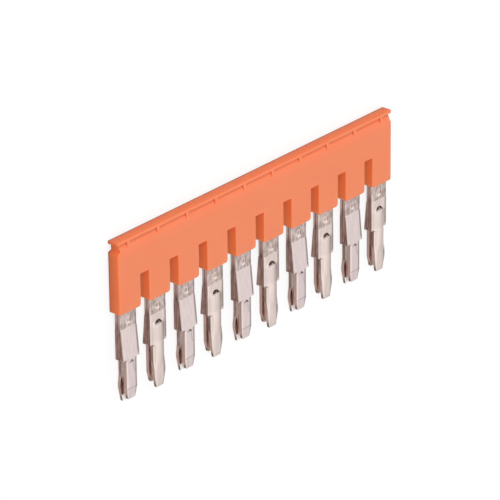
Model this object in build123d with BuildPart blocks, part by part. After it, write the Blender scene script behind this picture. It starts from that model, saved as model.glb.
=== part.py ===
# A ten-pole jumper bar for terminal blocks, lying on its back.
# X runs along the bar, Y from the contact tips up to the lip, and Z out of its front face.
# The origin is under the middle of the bar, on the surface that it lies on.
import os

from build123d import *

os.makedirs("parts", exist_ok=True)

# Driving dimensions, in millimetres.
poles = 10
pitch = 6.1

# Insulator. The grooves and the neck are measured down from the lip's underside.
finger_width = 4.3
finger_length = 4.87
finger_corner_round = 0.4
end_overhang = 0.2
body_thickness = 1.95
body_height = 11.0
lip_thickness = 0.45
lip_setback = 0.1
lip_round = 0.15
front_groove_depth = 0.42
front_groove_height = 0.85
rear_groove_depth = 0.3
rear_groove_height = 1.0
rear_groove_rise = 0.5
neck_depth = 0.5
neck_height = 1.0
end_edge_round = 0.35
gusset_width = 0.6

# Combs.
sheet = 0.5
tine_width = 3.4
spine_bottom_cover = 0.55
spine_top_cover = 0.6
mould_clearance = 0.02
step_drop = 7.3
coin_top_drop = 0.15
coin_bottom_drop = 2.65
coin_depth = 0.05

# Flat tine, which flares out to a step and goes on as a narrow tongue.
flat_tongue_width = 2.12
flat_tine_drop = 13.5
flare_start_drop = 2.45
flare = 0.43
flat_crease_drop = 11.85
flat_tip_lift = 0.3
flat_tip_width = 1.5
flat_hole_diameter = 1.0
flat_hole_drop = 8.0

# Ribbed tine, whose tongue is pressed out as a rounded rib between two wings.
rib_width = 2.3
rib_tine_drop = 14.05
rib_hole_diameter = 1.5
rib_hole_drop = 4.45
rib_start_drop = 3.9
rib_full_drop = 4.7
rib_fade_drop = 9.7
rib_flat_drop = 11.3
rib_crown = 0.38
rib_tongue_lift = 0.2
rib_tongue_crown = 0.03
rib_taper_drop = 11.9
rib_tip_width = 1.45
rib_tip_lift = 0.12

# Tips of both kinds of tine. They are coined thinner on their inner side.
tip_thickness = 0.38
tip_coin_length = 1.0
tip_corner_cut = 0.1

# Round mark where the two combs are pressed together at each pin.
press_mark_diameter = 1.15
press_mark_drop = 1.55
press_mark_depth = 0.12

# Places worked out from the sizes above.
body_length = (poles - 1) * pitch + finger_width + 2 * end_overhang
slot_width = pitch - finger_width
overall_height = body_height + rib_tine_drop
finger_end_y = rib_tine_drop - overall_height / 2
lip_y = finger_end_y + body_height - lip_thickness
top_y = finger_end_y + body_height
mid_z = body_thickness / 2
first_pin_x = -(poles - 1) * pitch / 2
pin_x = [first_pin_x + i * pitch for i in range(poles)]
flat_pin_x = pin_x[0::2]
rib_pin_x = pin_x[1::2]
through = body_thickness * 2


def below(drop):
    """The Y of a point this far below the ends of the fingers."""
    return finger_end_y - drop


# Insulator: one moulding, with the lip, the grooves under it and the gussets.
front_groove_y = lip_y - front_groove_height
front_groove_z = body_thickness - front_groove_depth
rear_slope_y = lip_y - rear_groove_height
rear_flat_y = rear_slope_y - rear_groove_rise

with BuildPart() as insulator:
    with BuildSketch(Plane.YZ.offset(-body_length / 2)):
        with BuildLine():
            Polyline(
                (finger_end_y, 0),
                (rear_flat_y, 0),
                (rear_slope_y, rear_groove_depth),
                (lip_y, rear_groove_depth),
                (lip_y, lip_setback),
                (top_y, lip_setback),
                (top_y, body_thickness - lip_setback),
                (lip_y, body_thickness - lip_setback),
                (lip_y, front_groove_z),
                (front_groove_y, body_thickness),
                (finger_end_y, body_thickness),
                close=True,
            )
        make_face()
    extrude(amount=body_length)

    # The lip's top edges are rounded along the whole bar.
    lip_edges = insulator.edges().filter_by(Axis.X).group_by(Axis.Y)[-1]
    fillet(lip_edges, lip_round)

    # Both ends of the neck under the lip are set back, above a sloping shoulder.
    end_x = body_length / 2
    neck_x = end_x - neck_depth
    neck_y = lip_y - neck_height
    with BuildSketch(Plane.XY.offset(-mid_z)):
        with BuildLine():
            Polyline(
                (end_x, neck_y - neck_depth),
                (neck_x, neck_y),
                (neck_x, lip_y),
                (end_x, lip_y),
                close=True,
            )
        make_face()
        mirror(about=Plane.YZ)
    extrude(amount=through, mode=Mode.SUBTRACT)

    # Slots between the fingers, whose corners are rounded.
    with BuildSketch(Plane.XY.offset(-mid_z)):
        with Locations((0, finger_end_y)):
            with GridLocations(pitch, 0, poles - 1, 1):
                Rectangle(slot_width, 2 * finger_length)
    extrude(amount=through, mode=Mode.SUBTRACT)
    finger_corners = insulator.edges().filter_by(Axis.Z).group_by(Axis.Y)[0]
    fillet(finger_corners, finger_corner_round)

    # The edges that run up each end are rounded.
    with BuildSketch(Plane.XZ.offset(-top_y)):
        with Locations((0, mid_z)):
            RectangleRounded(body_length, body_thickness, end_edge_round)
    extrude(amount=body_height, mode=Mode.INTERSECT)

    # Gussets that carry the lip, one over each pin.
    for x in pin_x:
        with BuildSketch(Plane.YZ.offset(x - gusset_width / 2)):
            with BuildLine():
                Polyline(
                    (front_groove_y, body_thickness),
                    (lip_y, body_thickness - lip_setback),
                    (lip_y, front_groove_z - mould_clearance),
                    (front_groove_y, front_groove_z - mould_clearance),
                    close=True,
                )
            make_face()
        extrude(amount=gusset_width)

    # Cavity that the moulding leaves round the two combs.
    spine_bottom_y = finger_end_y + finger_length + spine_bottom_cover
    spine_top_y = rear_flat_y - spine_top_cover
    spine_length = (poles - 1) * pitch + tine_width
    cavity_z = mid_z - sheet - mould_clearance
    with BuildSketch(Plane.XY.offset(cavity_z)):
        with Locations((0, (spine_bottom_y + spine_top_y) / 2)):
            Rectangle(
                spine_length + 2 * mould_clearance,
                spine_top_y - spine_bottom_y + 2 * mould_clearance,
            )
        shank_height = spine_bottom_y - finger_end_y
        for x in pin_x:
            with Locations((x, finger_end_y)):
                Rectangle(tine_width + 2 * mould_clearance, 2 * shank_height)
    extrude(amount=2 * (sheet + mould_clearance), mode=Mode.SUBTRACT)

insulator.part.label = "insulator"
export_step(insulator.part, "parts/insulator.step")


# Flat tine at X = 0, as the front comb has it. The outer face of its sheet is at outer_z.
inner_z = mid_z
outer_z = mid_z + sheet

with BuildPart() as flat_tine:
    with BuildSketch(Plane.YZ.offset(-tine_width / 2)):
        with BuildLine():
            Polyline(
                (spine_bottom_y, inner_z),
                (spine_bottom_y, outer_z),
                (below(flare_start_drop), outer_z),
                (below(step_drop), outer_z + flare),
                (below(flat_crease_drop), outer_z + flare),
                (below(flat_tine_drop), outer_z + flat_tip_lift),
                (below(flat_tine_drop), outer_z + flat_tip_lift - tip_thickness),
                (below(flat_tine_drop - tip_coin_length), inner_z + flare),
                (below(step_drop), inner_z + flare),
                (below(flare_start_drop), inner_z),
                close=True,
            )
        make_face()
    extrude(amount=tine_width)

    with BuildSketch(Plane.XY) as flat_outline:
        with BuildLine():
            half_plate = tine_width / 2
            half_tongue = flat_tongue_width / 2
            half_tip = flat_tip_width / 2
            Polyline(
                (-half_plate, spine_bottom_y),
                (-half_plate, below(step_drop)),
                (-half_tongue, below(step_drop)),
                (-half_tongue, below(flat_crease_drop)),
                (-half_tip, below(flat_tine_drop)),
                (half_tip, below(flat_tine_drop)),
                (half_tongue, below(flat_crease_drop)),
                (half_tongue, below(step_drop)),
                (half_plate, below(step_drop)),
                (half_plate, spine_bottom_y),
                close=True,
            )
        make_face()
        chamfer(flat_outline.vertices().group_by(Axis.Y)[0], tip_corner_cut)
        # The hole is the half of a disc that lies above its centre.
        with Locations((0, below(flat_hole_drop))):
            Circle(flat_hole_diameter / 2, mode=Mode.SUBTRACT)
            Rectangle(flat_hole_diameter, flat_hole_diameter, align=(Align.CENTER, Align.MAX))
    extrude(amount=through, both=True, mode=Mode.INTERSECT)


# Ribbed tine at X = 0. Each station of the rib gives its drop, width, crown above its edges,
# lift of those edges and thickness.
rib_stations = [
    (rib_start_drop, rib_width, rib_tongue_crown, 0, sheet),
    (rib_full_drop, rib_width, rib_crown, 0, sheet),
    (rib_fade_drop, rib_width, rib_crown, 0, sheet),
    (rib_flat_drop, rib_width, rib_tongue_crown, rib_tongue_lift, sheet),
    (rib_taper_drop, rib_width, rib_tongue_crown, rib_tongue_lift, sheet),
    (rib_tine_drop, rib_tip_width, rib_tongue_crown, rib_tip_lift, tip_thickness),
]

with BuildPart() as ribbed_tongue:
    for drop, width, crown, edge_lift, thickness in rib_stations:
        half = width / 2
        outer_side_z = outer_z + edge_lift
        inner_side_z = outer_side_z - thickness
        with BuildSketch(Plane.XZ.offset(-below(drop))):
            with BuildLine():
                inner_edge = ThreePointArc(
                    (-half, inner_side_z), (0, inner_side_z + crown), (half, inner_side_z)
                )
                outer_edge = ThreePointArc(
                    (-half, outer_side_z), (0, outer_side_z + crown), (half, outer_side_z)
                )
                Line(inner_edge @ 0, outer_edge @ 0)
                Line(inner_edge @ 1, outer_edge @ 1)
            make_face()
    loft(ruled=True)

with BuildPart() as ribbed_tine:
    with BuildSketch(Plane.XY.offset(inner_z)):
        shank_length = spine_bottom_y - below(rib_start_drop)
        with Locations((0, spine_bottom_y - shank_length / 2)):
            Rectangle(tine_width, shank_length)
        wing_width = (tine_width - rib_width) / 2
        wing_length = step_drop - rib_start_drop
        wing_x = (tine_width - wing_width) / 2
        with Locations((0, below(rib_start_drop) - wing_length / 2)):
            with GridLocations(2 * wing_x, 0, 2, 1):
                Rectangle(wing_width, wing_length)
    extrude(amount=sheet)
    add(ribbed_tongue.part)

    # The half-round hole cuts the rib off square, so that its end stands open.
    with BuildSketch(Plane.XY):
        with Locations((0, below(rib_hole_drop))):
            Circle(rib_hole_diameter / 2)
            Rectangle(
                rib_hole_diameter,
                rib_hole_diameter,
                align=(Align.CENTER, Align.MAX),
                mode=Mode.SUBTRACT,
            )
    extrude(amount=through, mode=Mode.SUBTRACT)


# Front comb: the spine, and tines of the two kinds in turn.
with BuildPart() as front_comb:
    with BuildSketch(Plane.XY.offset(inner_z)):
        with Locations((0, (spine_bottom_y + spine_top_y) / 2)):
            Rectangle(spine_length, spine_top_y - spine_bottom_y)
    extrude(amount=sheet)
    with Locations([(x, 0) for x in flat_pin_x]):
        add(flat_tine.part)
    with Locations([(x, 0) for x in rib_pin_x]):
        add(ribbed_tine.part)

    # The band under each finger is coined a little thinner, and holds the press mark.
    with BuildSketch(Plane.XY.offset(outer_z - coin_depth)):
        with Locations((0, below((coin_top_drop + coin_bottom_drop) / 2))):
            Rectangle(spine_length, coin_bottom_drop - coin_top_drop)
    extrude(amount=sheet, mode=Mode.SUBTRACT)
    with BuildSketch(Plane.XY.offset(outer_z - coin_depth - press_mark_depth)):
        with Locations((0, below(press_mark_drop))):
            with GridLocations(pitch, 0, poles, 1):
                Circle(press_mark_diameter / 2)
    extrude(amount=sheet, mode=Mode.SUBTRACT)

# The rear comb is the same stamping, turned round so that the two lie back to back.
with BuildPart() as rear_comb:
    with Locations(Location((0, 0, 2 * mid_z), (0, 180, 0))):
        add(front_comb.part)

front_comb.part.label = "front_comb"
export_step(front_comb.part, "parts/front_comb.step")
rear_comb.part.label = "rear_comb"
export_step(rear_comb.part, "parts/rear_comb.step")
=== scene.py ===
# A ten-pole jumper bar for terminal blocks, lying on its back on a white table.
# X runs along the bar, Y from the contact tips up to the lip, and Z out of its front face.
import math

import bmesh
import bpy
from mathutils import Matrix, Vector


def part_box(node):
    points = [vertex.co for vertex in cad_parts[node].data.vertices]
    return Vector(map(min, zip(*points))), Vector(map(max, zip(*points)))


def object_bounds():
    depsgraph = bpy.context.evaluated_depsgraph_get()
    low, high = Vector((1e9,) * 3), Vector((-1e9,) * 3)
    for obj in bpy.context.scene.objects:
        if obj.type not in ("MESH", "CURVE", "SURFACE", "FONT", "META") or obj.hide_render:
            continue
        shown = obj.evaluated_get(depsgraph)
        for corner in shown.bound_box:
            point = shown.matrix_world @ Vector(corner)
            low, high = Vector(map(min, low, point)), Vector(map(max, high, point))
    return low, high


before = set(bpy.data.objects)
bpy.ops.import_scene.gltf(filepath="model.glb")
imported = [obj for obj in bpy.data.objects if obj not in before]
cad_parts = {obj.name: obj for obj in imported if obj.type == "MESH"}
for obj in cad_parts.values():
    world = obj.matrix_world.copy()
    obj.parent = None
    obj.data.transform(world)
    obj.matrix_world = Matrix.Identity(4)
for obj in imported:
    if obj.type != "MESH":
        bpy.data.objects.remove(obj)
cad_low, cad_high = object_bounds()


# Insulator. It is one thin moulding in orange polyamide, made round the two combs.
# The polyamide lets a little light in. Its faces are satin from the mould, with a very fine
# texture. The rear edges, the ends and the top of the lip are painted darker as shade, and the
# front and rear faces are painted paler, partly as a sheen.
MM = 0.001
ORANGE = (0.98, 0.22, 0.053)
ORANGE_LIP_SHADED = (0.94, 0.178, 0.037)
ORANGE_END_SHADED = (0.8, 0.165, 0.036)
ORANGE_PALE_SHEEN = (0.9, 0.235, 0.1)
ORANGE_PALE_SHEEN_DEEP = (0.87, 0.217, 0.09)
SHADE_BROWN = (0.3, 0.08, 0.04)
RIM_SHADE_SHARE = 0.75
REAR_SHADE_SHARE = 0.22
REAR_SHADE_SHARE_END = 0.38
GUSSET_SHADE = (0.72, 0.1, 0.028)
GROOVE_SHADE = (0.6, 0.12, 0.045)
GROOVE_SHARE = 0.5
SATIN = 0.4
GRAIN_DULLS = 0.1
GLOSS = 0.45
LIGHT_LET_IN = 0.4
LIGHT_LET_IN_TINT = (1.0, 0.25, 0.08)
LIGHT_LET_IN_DEPTH = 1.5 * MM
CLOUD_SIZE = 9 * MM
CLOUD_DETAIL = 3.0
GRAIN_SIZE = 0.12 * MM
GRAIN_DEPTH = 0.004 * MM
PLASTIC_EDGE = 0.05 * MM
EDGE_STEPS = 2
EDGE_ANGLE = 32
WELD_DISTANCE = 0.001 * MM

# Where each shade lies. Two numbers are an edge and its softness, and three are a band's
# two edges and their softness. The second group says how far a face turns that way, up to 1.
BODY_END = (29.0 * MM, 0.1 * MM)
RIM_SHADE_LINE = (0.36 * MM, 0.1 * MM)
REAR_SHADE_EDGE = (0.85 * MM, 1.7 * MM)
GUSSET_FOOT = (1.3 * MM, 0.05 * MM)
GROOVE_BAND = (0.45 * MM, 0.86 * MM, 0.2 * MM)

FLAT_FACE = (0.8, 0.3)
LIP_TOP = (0.6, 0.3)
GUSSET_SIDE = (0.7, 0.2)
GROOVE_SLOPE = (0.7, 0.97, 0.03)


class Value:
    """An output of a finish's node, wrapped so that the sums on its values read as sums."""

    def __init__(self, finish, socket):
        self.finish = finish
        self.socket = socket

    def combine(self, operation, *inputs):
        return self.finish.node("ShaderNodeMath", {"operation": operation}, inputs)[0]

    def __add__(self, other):
        return self.combine("ADD", self, other)

    def __sub__(self, other):
        return self.combine("SUBTRACT", self, other)

    def __rsub__(self, other):
        return self.combine("SUBTRACT", other, self)

    def __mul__(self, other):
        return self.combine("MULTIPLY", self, other)

    def __truediv__(self, other):
        return self.combine("DIVIDE", self, other)

    def __pow__(self, other):
        return self.combine("POWER", self, other)

    def __abs__(self):
        return self.combine("ABSOLUTE", self)

    __radd__ = __add__
    __rmul__ = __mul__

    def fraction(self):
        return self.combine("FRACT", self)

    def sine(self):
        return self.combine("SINE", self)

    def above(self, edge, softness):
        """1 where the value is well above the edge and 0 well below it."""
        step = self.finish.node(
            "ShaderNodeMapRange",
            {"interpolation_type": "SMOOTHSTEP"},
            {"Value": self, "From Min": edge - softness / 2, "From Max": edge + softness / 2},
        )
        return step[0]

    def below(self, edge, softness):
        return 1 - self.above(edge, softness)

    def between(self, low, high, softness):
        return self.above(low, softness) * self.below(high, softness)


class Finish:
    """A material or the world, with its nodes made one by one."""

    def __init__(self, owner, shader="Principled BSDF"):
        owner.use_nodes = True
        self.owner = owner
        self.tree = owner.node_tree
        self.shader = self.tree.nodes[shader]

    def node(self, kind, settings, inputs):
        """Adds a node, makes its settings, fills its sockets and gives its outputs."""
        made = self.tree.nodes.new(kind)
        for name, setting in settings.items():
            setattr(made, name, setting)
        named = inputs.items() if isinstance(inputs, dict) else enumerate(inputs)
        for key, value in named:
            self.fill(made.inputs[key], value)
        return [Value(self, out) for out in made.outputs if out.enabled]

    def fill(self, socket, value):
        if isinstance(value, Value):
            self.tree.links.new(value.socket, socket)
        elif socket.type == "RGBA":
            socket.default_value = (*value, 1)
        else:
            socket.default_value = value

    def feed(self, name, value):
        self.fill(self.shader.inputs[name], value)

    def place(self):
        """X, Y and Z of the point on the piece, in metres, and of the way that it faces."""
        outputs = self.node("ShaderNodeTexCoord", {}, [])
        facing, self.point = outputs[1], outputs[3]
        return [self.node("ShaderNodeSeparateXYZ", {}, [part]) for part in (self.point, facing)]

    def noise(self, size, detail=2.0, stretch=(1, 1, 1)):
        """Soft random patches about this large, from 0 to 1."""
        scale = tuple(1 / (size * along) for along in stretch)
        scaled = self.node("ShaderNodeMapping", {}, {"Vector": self.point, "Scale": scale})
        inputs = {"Vector": scaled[0], "Scale": 1.0, "Detail": detail}
        return self.node("ShaderNodeTexNoise", {}, inputs)[0]

    def mix(self, amount, first, second):
        """A blend of two colours, which are the sockets 6 and 7 of a Mix node."""
        inputs = {"Factor": amount, 6: first, 7: second}
        return self.node("ShaderNodeMix", {"data_type": "RGBA"}, inputs)[-1]

    def bump(self, height, depth):
        bumped = self.node("ShaderNodeBump", {}, {"Height": height, "Distance": depth})
        self.feed("Normal", bumped[0])

    def grey(self, level):
        return self.node("ShaderNodeCombineColor", {}, [level, level, level])[0]

    def put_on(self, piece, edge_width):
        """Gives the finish to a piece, and softens the piece's sharp edges."""
        for slot in piece.material_slots:
            slot.material = self.owner
        weld = piece.modifiers.new("weld", "WELD")
        weld.merge_threshold = WELD_DISTANCE
        soften = piece.modifiers.new("soften", "BEVEL")
        soften.width = edge_width
        soften.segments = EDGE_STEPS
        soften.limit_method = "ANGLE"
        soften.angle_limit = math.radians(EDGE_ANGLE)


plastic = Finish(bpy.data.materials.new("orange_plastic"))
(x, y, z), facing = plastic.place()
from_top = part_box("insulator")[1].y - y
cloudy = plastic.noise(CLOUD_SIZE, CLOUD_DETAIL)
grain = plastic.noise(GRAIN_SIZE)
sheen_faces = abs(facing[2]).above(*FLAT_FACE)
at_end = abs(x).above(*BODY_END)
gusset = from_top.below(*GUSSET_FOOT) * (1 - at_end) * abs(facing[0]).above(*GUSSET_SIDE)
groove = from_top.between(*GROOVE_BAND) * facing[2].between(*GROOVE_SLOPE)
# The rear rim and the rear of the walls, more so on the ends, are painted darker as shade.
rim_shade = z.below(*RIM_SHADE_LINE) * RIM_SHADE_SHARE
rear = z.below(*REAR_SHADE_EDGE) * (REAR_SHADE_SHARE + at_end * (REAR_SHADE_SHARE_END - REAR_SHADE_SHARE))
# The ends and the top of the lip are painted in darker tones of the orange, as painted shade.
edges = plastic.mix(at_end, ORANGE, ORANGE_END_SHADED)
edges = plastic.mix(facing[1].above(*LIP_TOP), edges, ORANGE_LIP_SHADED)
# The front and rear faces are painted paler: partly a chalkier mould finish, partly a painted
# sheen.
orange = plastic.mix(sheen_faces, edges, plastic.mix(cloudy, ORANGE_PALE_SHEEN_DEEP, ORANGE_PALE_SHEEN))
orange = plastic.mix(gusset, orange, GUSSET_SHADE)
orange = plastic.mix(groove * GROOVE_SHARE, orange, GROOVE_SHADE)
orange = plastic.mix((rim_shade + rear) * (1 - sheen_faces), orange, SHADE_BROWN)
plastic.feed("Base Color", orange)
plastic.feed("Roughness", SATIN + grain * GRAIN_DULLS)
plastic.feed("Specular IOR Level", GLOSS)
plastic.feed("Subsurface Weight", LIGHT_LET_IN)
plastic.feed("Subsurface Radius", LIGHT_LET_IN_TINT)
plastic.feed("Subsurface Scale", LIGHT_LET_IN_DEPTH)
plastic.bump(grain, GRAIN_DEPTH)
plastic.put_on(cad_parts["insulator"], PLASTIC_EDGE)


# Combs. Each is stamped and bent from half-millimetre tinned copper alloy.
# The stamping rolls the outer edges over, and the sheared sides show the darker metal inside.
# A band under each finger is coined dull, with a round press mark in its middle.
TIN = (0.86, 0.735, 0.735)
TIN_WARM = (0.9, 0.755, 0.725)
TIN_RIB_LIT = (0.89, 0.76, 0.68)
EDGE_SHADE_ROSE = (0.55, 0.38, 0.35)
EDGE_SHADE_SHARE = 0.75
STREAK_AND_SHADE = (0.45, 0.38, 0.36)
UPPER_RIB_SHADE_SHARE = 0.22
DRAWN_SHARE = 0.17
CREASE_SHADE_SHARE = 0.5
RIB_FOOT_SHADE_SHARE = 0.55
SHOULDER_SHADE_SHARE = 0.75
HOLE_SHADE_SHARE = 0.4
COINED = (0.42, 0.335, 0.3)
COINED_SHARE = 0.25
COINED_PATCH_SHARE = 0.6
INSIDE_SHADE_FLAT = (0.66, 0.47, 0.4)
INSIDE_SHADE_RIB = (0.72, 0.52, 0.46)
INSIDE_SLIT_SHADE = (0.19, 0.11, 0.09)
CUT_LIT = (0.95, 0.9, 0.86)
GLINT_RIB_SHARE = 0.45
SHEARED = (0.34, 0.22, 0.19)
SHEARED_DARK = (0.19, 0.115, 0.1)
SHEARED_LIT = (0.62, 0.44, 0.39)
LIT_SHANK_SHARE = 0.6
LIT_TONGUE_SHARE = 0.45
TIP_DARK = (0.07, 0.06, 0.055)
TIP_DARK_SHARE = 0.75
SEAM = (0.04, 0.025, 0.02)
TIN_DULL = 0.28
MOTTLE_DULLS = 0.16
COINED_DULLS = 0.14
METAL_EDGE = 0.04 * MM

PITCH = 6.1 * MM
HALF_PLATE = 1.7 * MM
HALF_TONGUE = 1.08 * MM
STEP_DROP = 7.3 * MM
STEP_BLUR = 0.02 * MM
ROLLED_WIDTH = 0.42 * MM
ROLLED_DEPTH = 0.11 * MM
MARK_DROP = 1.55 * MM
SLIT_TAPER = 0.1

# The size, detail and stretch of each unevenness of the metal.
MOTTLE = (0.9 * MM, 4.0)
PATCHES = (0.8 * MM, 3.0, (0.6, 1.2, 1.0))
BRUSHED = (0.5 * MM, 3.0, (0.4, 4.0, 1.0))
DRAWN = (0.45 * MM, 4.0, (0.6, 6.0, 0.6))

# Bands on the tines, by how far they lie below the fingers. The ring of the press mark is
# measured from its middle, and the last two are places across a tine.
COINED_BAND = (0.15 * MM, 2.65 * MM, 0.12 * MM)
MARK_RING = (0.3 * MM, 0.62 * MM, 0.12 * MM)
STEP_BAND = (7.0 * MM, 7.45 * MM, 0.3 * MM)
EDGE_SHADE_BAND = (2.65 * MM, 7.3 * MM, 0.4 * MM)
UPPER_RIB_BAND = (4.45 * MM, 7.0 * MM, 0.8 * MM)
RIB_FOOT_BAND = (4.45 * MM, 7.3 * MM, 0.1 * MM)
SHOULDER_BAND = (4.2 * MM, 5.5 * MM, 0.3 * MM)
HOLE_SHADE_BAND = (8.0 * MM, 9.6 * MM, 0.6 * MM)
CREASE_BAND = (11.75 * MM, 11.95 * MM, 0.1 * MM)
GLINT_RIB_BAND = (7.4 * MM, 10.2 * MM, 0.5 * MM)
GLINT_TIP = (13.1 * MM, 0.4 * MM)
LIT_SHANK = (1.8 * MM, 1.6 * MM)
RIB_FOOT = (1.13 * MM, 1.37 * MM, 0.1 * MM)
SLIT_EDGE = (1.78 * MM, 0.15 * MM)

# Edges that the two kinds of tine have at different heights: how far below the fingers on a
# flat tine, how far on a ribbed one, and the softness.
SHADED_FROM = (5.5 * MM, 10.4 * MM, 0.6 * MM)
SHADED_TO = (14.5 * MM, 13.1 * MM, 0.4 * MM)
LIT_TONGUE = (7.3 * MM, 10.1 * MM, 0.8 * MM)
DARK_TIP = (12.85 * MM, 13.35 * MM, 0.5 * MM)

# Slanting lines of painted shade: the place across and below where each starts, its slant and
# half its width.
SHOULDER_LINE = (0.6 * MM, 4.3 * MM, 0.42, 0.12 * MM)
HOLE_SHADE_LINE = (0.25 * MM, 8.0 * MM, 0.25, 0.15 * MM)

# From which part of an unevenness its spots show, from which turn a face counts, and how
# softly. The rolled edge is counted in its own widths, and the seam in millimetres.
PATCH_SPOTS = (0.5, 0.3)
DRAWN_LINES = (0.52, 0.25)
BRUSHED_LINES = (0.5, 0.35)
FACING_IN = (-0.05, 0.06)
FACING_UP = (0.5, 0.2)
FACING_ACROSS = (0.55, 0.2)
RIBBED_KIND = (0, 0.1)
ROLLED_OVER = (-0.5, 1.0)
SEAM_HALF = (0.05, 0.05)
sheets_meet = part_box("front_comb")[0].z
fingers_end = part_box("insulator")[0].y

tin = Finish(bpy.data.materials.new("tinned_copper"))
(x, y, z), (side_x, side_y, side_z) = tin.place()
across = ((x / PITCH).fraction() - 0.5) * PITCH
drop = fingers_end - y
outward = (z - sheets_meet) / MM
ribbed = ((x * (math.pi / PITCH)).sine() * outward).above(*RIBBED_KIND)
mottle = tin.noise(*MOTTLE)
patches = tin.noise(*PATCHES)
brushed = tin.noise(*BRUSHED)
drawn = tin.noise(*DRAWN)


def past(flat_drop, ribbed_drop, softness):
    """1 below an edge that lies at one height on flat tines and at another on ribbed ones."""
    return (drop - flat_drop - ribbed * (ribbed_drop - flat_drop)).above(0, softness)


def slanting(start_across, start_drop, slant, half_line):
    """1 on a line that slants across a tine as it goes down."""
    off_line = across - start_across - (drop - start_drop) * slant
    return off_line.between(-half_line, half_line, half_line)


half_width = HALF_PLATE - (HALF_PLATE - HALF_TONGUE) * drop.above(STEP_DROP, STEP_BLUR)
rolled = ((abs(across) - half_width) / ROLLED_WIDTH).above(*ROLLED_OVER)
coined = drop.between(*COINED_BAND)
from_mark = (across * across + (drop - MARK_DROP) * (drop - MARK_DROP)) ** 0.5
unpressed = 1 - from_mark.between(*MARK_RING)
coined_patches = COINED_SHARE + patches.above(*PATCH_SPOTS) * COINED_PATCH_SHARE
# The rolled edges of the flat tines are painted darker, as the shade on their turned-over
# faces.
rolled_edge_shade = rolled * drop.between(*EDGE_SHADE_BAND) * (1 - ribbed)
# Lines of painted shade: at the flat tine's crease, along the rib's right foot, by the shoulder
# under the rib's hole, and down from the flat tine's hole.
crease_shade = drop.between(*CREASE_BAND) * (1 - ribbed)
rib_foot_shade = across.between(*RIB_FOOT) * drop.between(*RIB_FOOT_BAND) * ribbed
shoulder_shade = slanting(*SHOULDER_LINE) * drop.between(*SHOULDER_BAND) * ribbed
hole_shade = slanting(*HOLE_SHADE_LINE) * drop.between(*HOLE_SHADE_BAND) * (1 - ribbed)

# The ribbed tines are painted creamier, for the light that their curved faces reflect.
outer = tin.mix(mottle, tin.mix(ribbed, TIN, TIN_RIB_LIT), TIN_WARM)
outer = tin.mix(rolled_edge_shade * EDGE_SHADE_SHARE, outer, EDGE_SHADE_ROSE)
# The grey paints shade on the upper rib and on the lines above; only the drawn lines are real
# streaks.
outer = tin.mix(ribbed * drop.between(*UPPER_RIB_BAND) * UPPER_RIB_SHADE_SHARE, outer, STREAK_AND_SHADE)
outer = tin.mix(coined * coined_patches * unpressed, outer, COINED)
outer = tin.mix(drawn.above(*DRAWN_LINES) * DRAWN_SHARE, outer, STREAK_AND_SHADE)
outer = tin.mix(crease_shade * CREASE_SHADE_SHARE, outer, STREAK_AND_SHADE)
outer = tin.mix(rib_foot_shade * RIB_FOOT_SHADE_SHARE, outer, STREAK_AND_SHADE)
outer = tin.mix(shoulder_shade * SHOULDER_SHADE_SHARE, outer, STREAK_AND_SHADE)
outer = tin.mix(hole_shade * HOLE_SHADE_SHARE, outer, STREAK_AND_SHADE)

# The inner faces between the two sheets are painted darker as shade, darker still in a line
# near the ribbed tongue's edges.
facing_in = (outward * side_z).below(*FACING_IN)
shaded = facing_in * past(*SHADED_FROM) * (1 - past(*SHADED_TO))
slit_shade = (abs(across) + drop * SLIT_TAPER).above(*SLIT_EDGE) * ribbed
inner_shade = tin.mix(slit_shade, tin.mix(ribbed, INSIDE_SHADE_FLAT, INSIDE_SHADE_RIB), INSIDE_SLIT_SHADE)
# Painted highlights: the cut faces that face up, and glints on the inner faces of the ribbed
# tines, are a matte near-white.
glints = drop.above(*GLINT_TIP) + drop.between(*GLINT_RIB_BAND) * GLINT_RIB_SHARE
bright = 1 - (1 - side_y.above(*FACING_UP)) * (1 - facing_in * ribbed * glints)
faces = tin.mix(bright, tin.mix(shaded, outer, inner_shade), CUT_LIT)

# The sheared sides are painted lighter just under the fingers and on the tongues, as painted
# light.
lit_sides = drop.below(*LIT_SHANK) * LIT_SHANK_SHARE + past(*LIT_TONGUE) * LIT_TONGUE_SHARE
sides = tin.mix(brushed.above(*BRUSHED_LINES), SHEARED_DARK, SHEARED)
sides = tin.mix(lit_sides, sides, SHEARED_LIT)
sides = tin.mix(past(*DARK_TIP) * TIP_DARK_SHARE, sides, TIP_DARK)
sides = tin.mix(abs(outward).below(*SEAM_HALF), sides, SEAM)
sheared = (side_x * side_x).above(*FACING_ACROSS)
tin.feed("Base Color", tin.mix(sheared, faces, sides))
tin.feed("Metallic", 1 - bright)
tin.feed("Roughness", TIN_DULL + mottle * MOTTLE_DULLS + coined * COINED_DULLS)
tin.bump(1 - rolled * (1 - drop.between(*STEP_BAND)), ROLLED_DEPTH)
tin.put_on(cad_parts["front_comb"], METAL_EDGE)
tin.put_on(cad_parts["rear_comb"], METAL_EDGE)


# Table. A plain white surface that keeps the bar's soft shadow.
# The camera and the reflections see it nearly white, and it lights the bar as pale grey.
TABLE_SIZE = 4.0
TABLE_GREY = 0.65
TABLE_SHADED = 0.25
table_mesh = bpy.data.meshes.new("table")
surface = bmesh.new()
bmesh.ops.create_grid(surface, x_segments=1, y_segments=1, size=TABLE_SIZE / 2)
surface.to_mesh(table_mesh)
surface.free()
table = bpy.data.objects.new("table", table_mesh)
bpy.context.scene.collection.objects.link(table)
table_finish = Finish(bpy.data.materials.new("table_white"))
rays = table_finish.node("ShaderNodeLightPath", {}, [])
camera_ray, glossy_ray, ray_through_glass = rays[0], rays[3], rays[6]
seen = camera_ray + glossy_ray + ray_through_glass
shade = TABLE_GREY + (TABLE_SHADED - TABLE_GREY) * seen
table_finish.feed("Base Color", table_finish.grey(shade))
table_finish.feed("Roughness", 1.0)
table_finish.feed("Specular IOR Level", 0.0)
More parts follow.
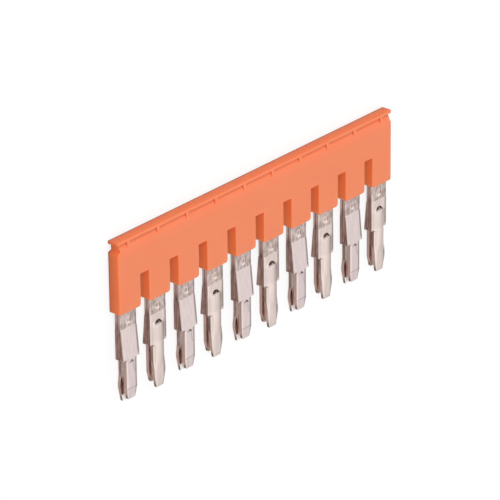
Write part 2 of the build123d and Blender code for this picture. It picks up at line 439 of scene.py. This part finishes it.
table_finish.feed("Emission Color", table_finish.grey(seen * (1 - TABLE_SHADED)))
table_finish.feed("Emission Strength", 1.0)
table_mesh.materials.append(table_finish.owner)


# Light. The bar lies in a pale tent that is brightest straight above it, and a large soft
# window beyond the lip lights the top of the lip and the left end.
TENT_SIDES = 0.4
TENT_TOP = 1.09
WINDOW_STRENGTH = 1.05
WINDOW_WIDTH = 40
WINDOW_FROM = Vector((-0.5, 0.55, 0.67))
tent = Finish(bpy.data.worlds.new("tent"), "Background")
direction = tent.node("ShaderNodeTexCoord", {}, [])[0]
height = tent.node("ShaderNodeSeparateXYZ", {}, [direction])[2]
brightness = tent.node(
    "ShaderNodeMapRange", {}, {"Value": height, "To Min": TENT_SIDES, "To Max": TENT_TOP}
)
tent.feed("Color", (1, 1, 1))
tent.feed("Strength", brightness[0])
bpy.context.scene.world = tent.owner

window_light = bpy.data.lights.new("window", "SUN")
window_light.energy = WINDOW_STRENGTH
window_light.angle = math.radians(WINDOW_WIDTH)
window = bpy.data.objects.new("window", window_light)
window.rotation_mode = "QUATERNION"
window.rotation_quaternion = WINDOW_FROM.to_track_quat("Z", "Y")
bpy.context.scene.collection.objects.link(window)


# Camera. It looks at the bar as the photograph does. The angles are those round the bar
# as it would stand on its contacts, and they are turned with it as it lies on its back.
PHOTO_WIDTH = 500
BAR_AZIMUTH = -49.33
BAR_ELEVATION = 25.0
BAR_ROLL = -0.52
SENSOR_WIDTH = 36.0
FOCAL_PIXELS = 4267.6
DISTANCE = 605.5 * MM
CENTRE_X = 259.8
CENTRE_Y = 232.29
LOOKED_AT_ABOVE_FINGERS = 2.05 * MM
CLIP_NEAR = 0.01
CLIP_FAR = 10
looked_at = Vector((0, fingers_end + LOOKED_AT_ABOVE_FINGERS, cad_high.z))


def lying(x, y, z):
    """A direction given round the standing bar, as it is once the bar lies on its back."""
    return Vector((x, z, -y))


azimuth = math.radians(BAR_AZIMUTH)
elevation = math.radians(BAR_ELEVATION)
roll = math.radians(BAR_ROLL)
back = lying(
    math.sin(azimuth) * math.cos(elevation),
    -math.cos(azimuth) * math.cos(elevation),
    math.sin(elevation),
)
level_right = lying(math.cos(azimuth), math.sin(azimuth), 0)
level_up = back.cross(level_right)
right = level_right * math.cos(roll) + level_up * math.sin(roll)
up = level_up * math.cos(roll) - level_right * math.sin(roll)

camera_data = bpy.data.cameras.new("camera")
camera_data.sensor_width = SENSOR_WIDTH
camera_data.lens = SENSOR_WIDTH * FOCAL_PIXELS / PHOTO_WIDTH
camera_data.clip_start = CLIP_NEAR
camera_data.clip_end = CLIP_FAR
camera = bpy.data.objects.new("camera", camera_data)
camera.location = looked_at + back * DISTANCE
pixel = DISTANCE / FOCAL_PIXELS
half_photo = PHOTO_WIDTH / 2
aim = looked_at + right * (half_photo - CENTRE_X) * pixel - up * (half_photo - CENTRE_Y) * pixel
away = (camera.location - aim).normalized()
side = up.cross(away).normalized()
camera.rotation_mode = "QUATERNION"
camera.rotation_quaternion = Matrix((side, away.cross(side), away)).transposed().to_quaternion()
bpy.context.scene.collection.objects.link(camera)
bpy.context.scene.camera = camera
bpy.context.scene.view_settings.view_transform = "Standard"
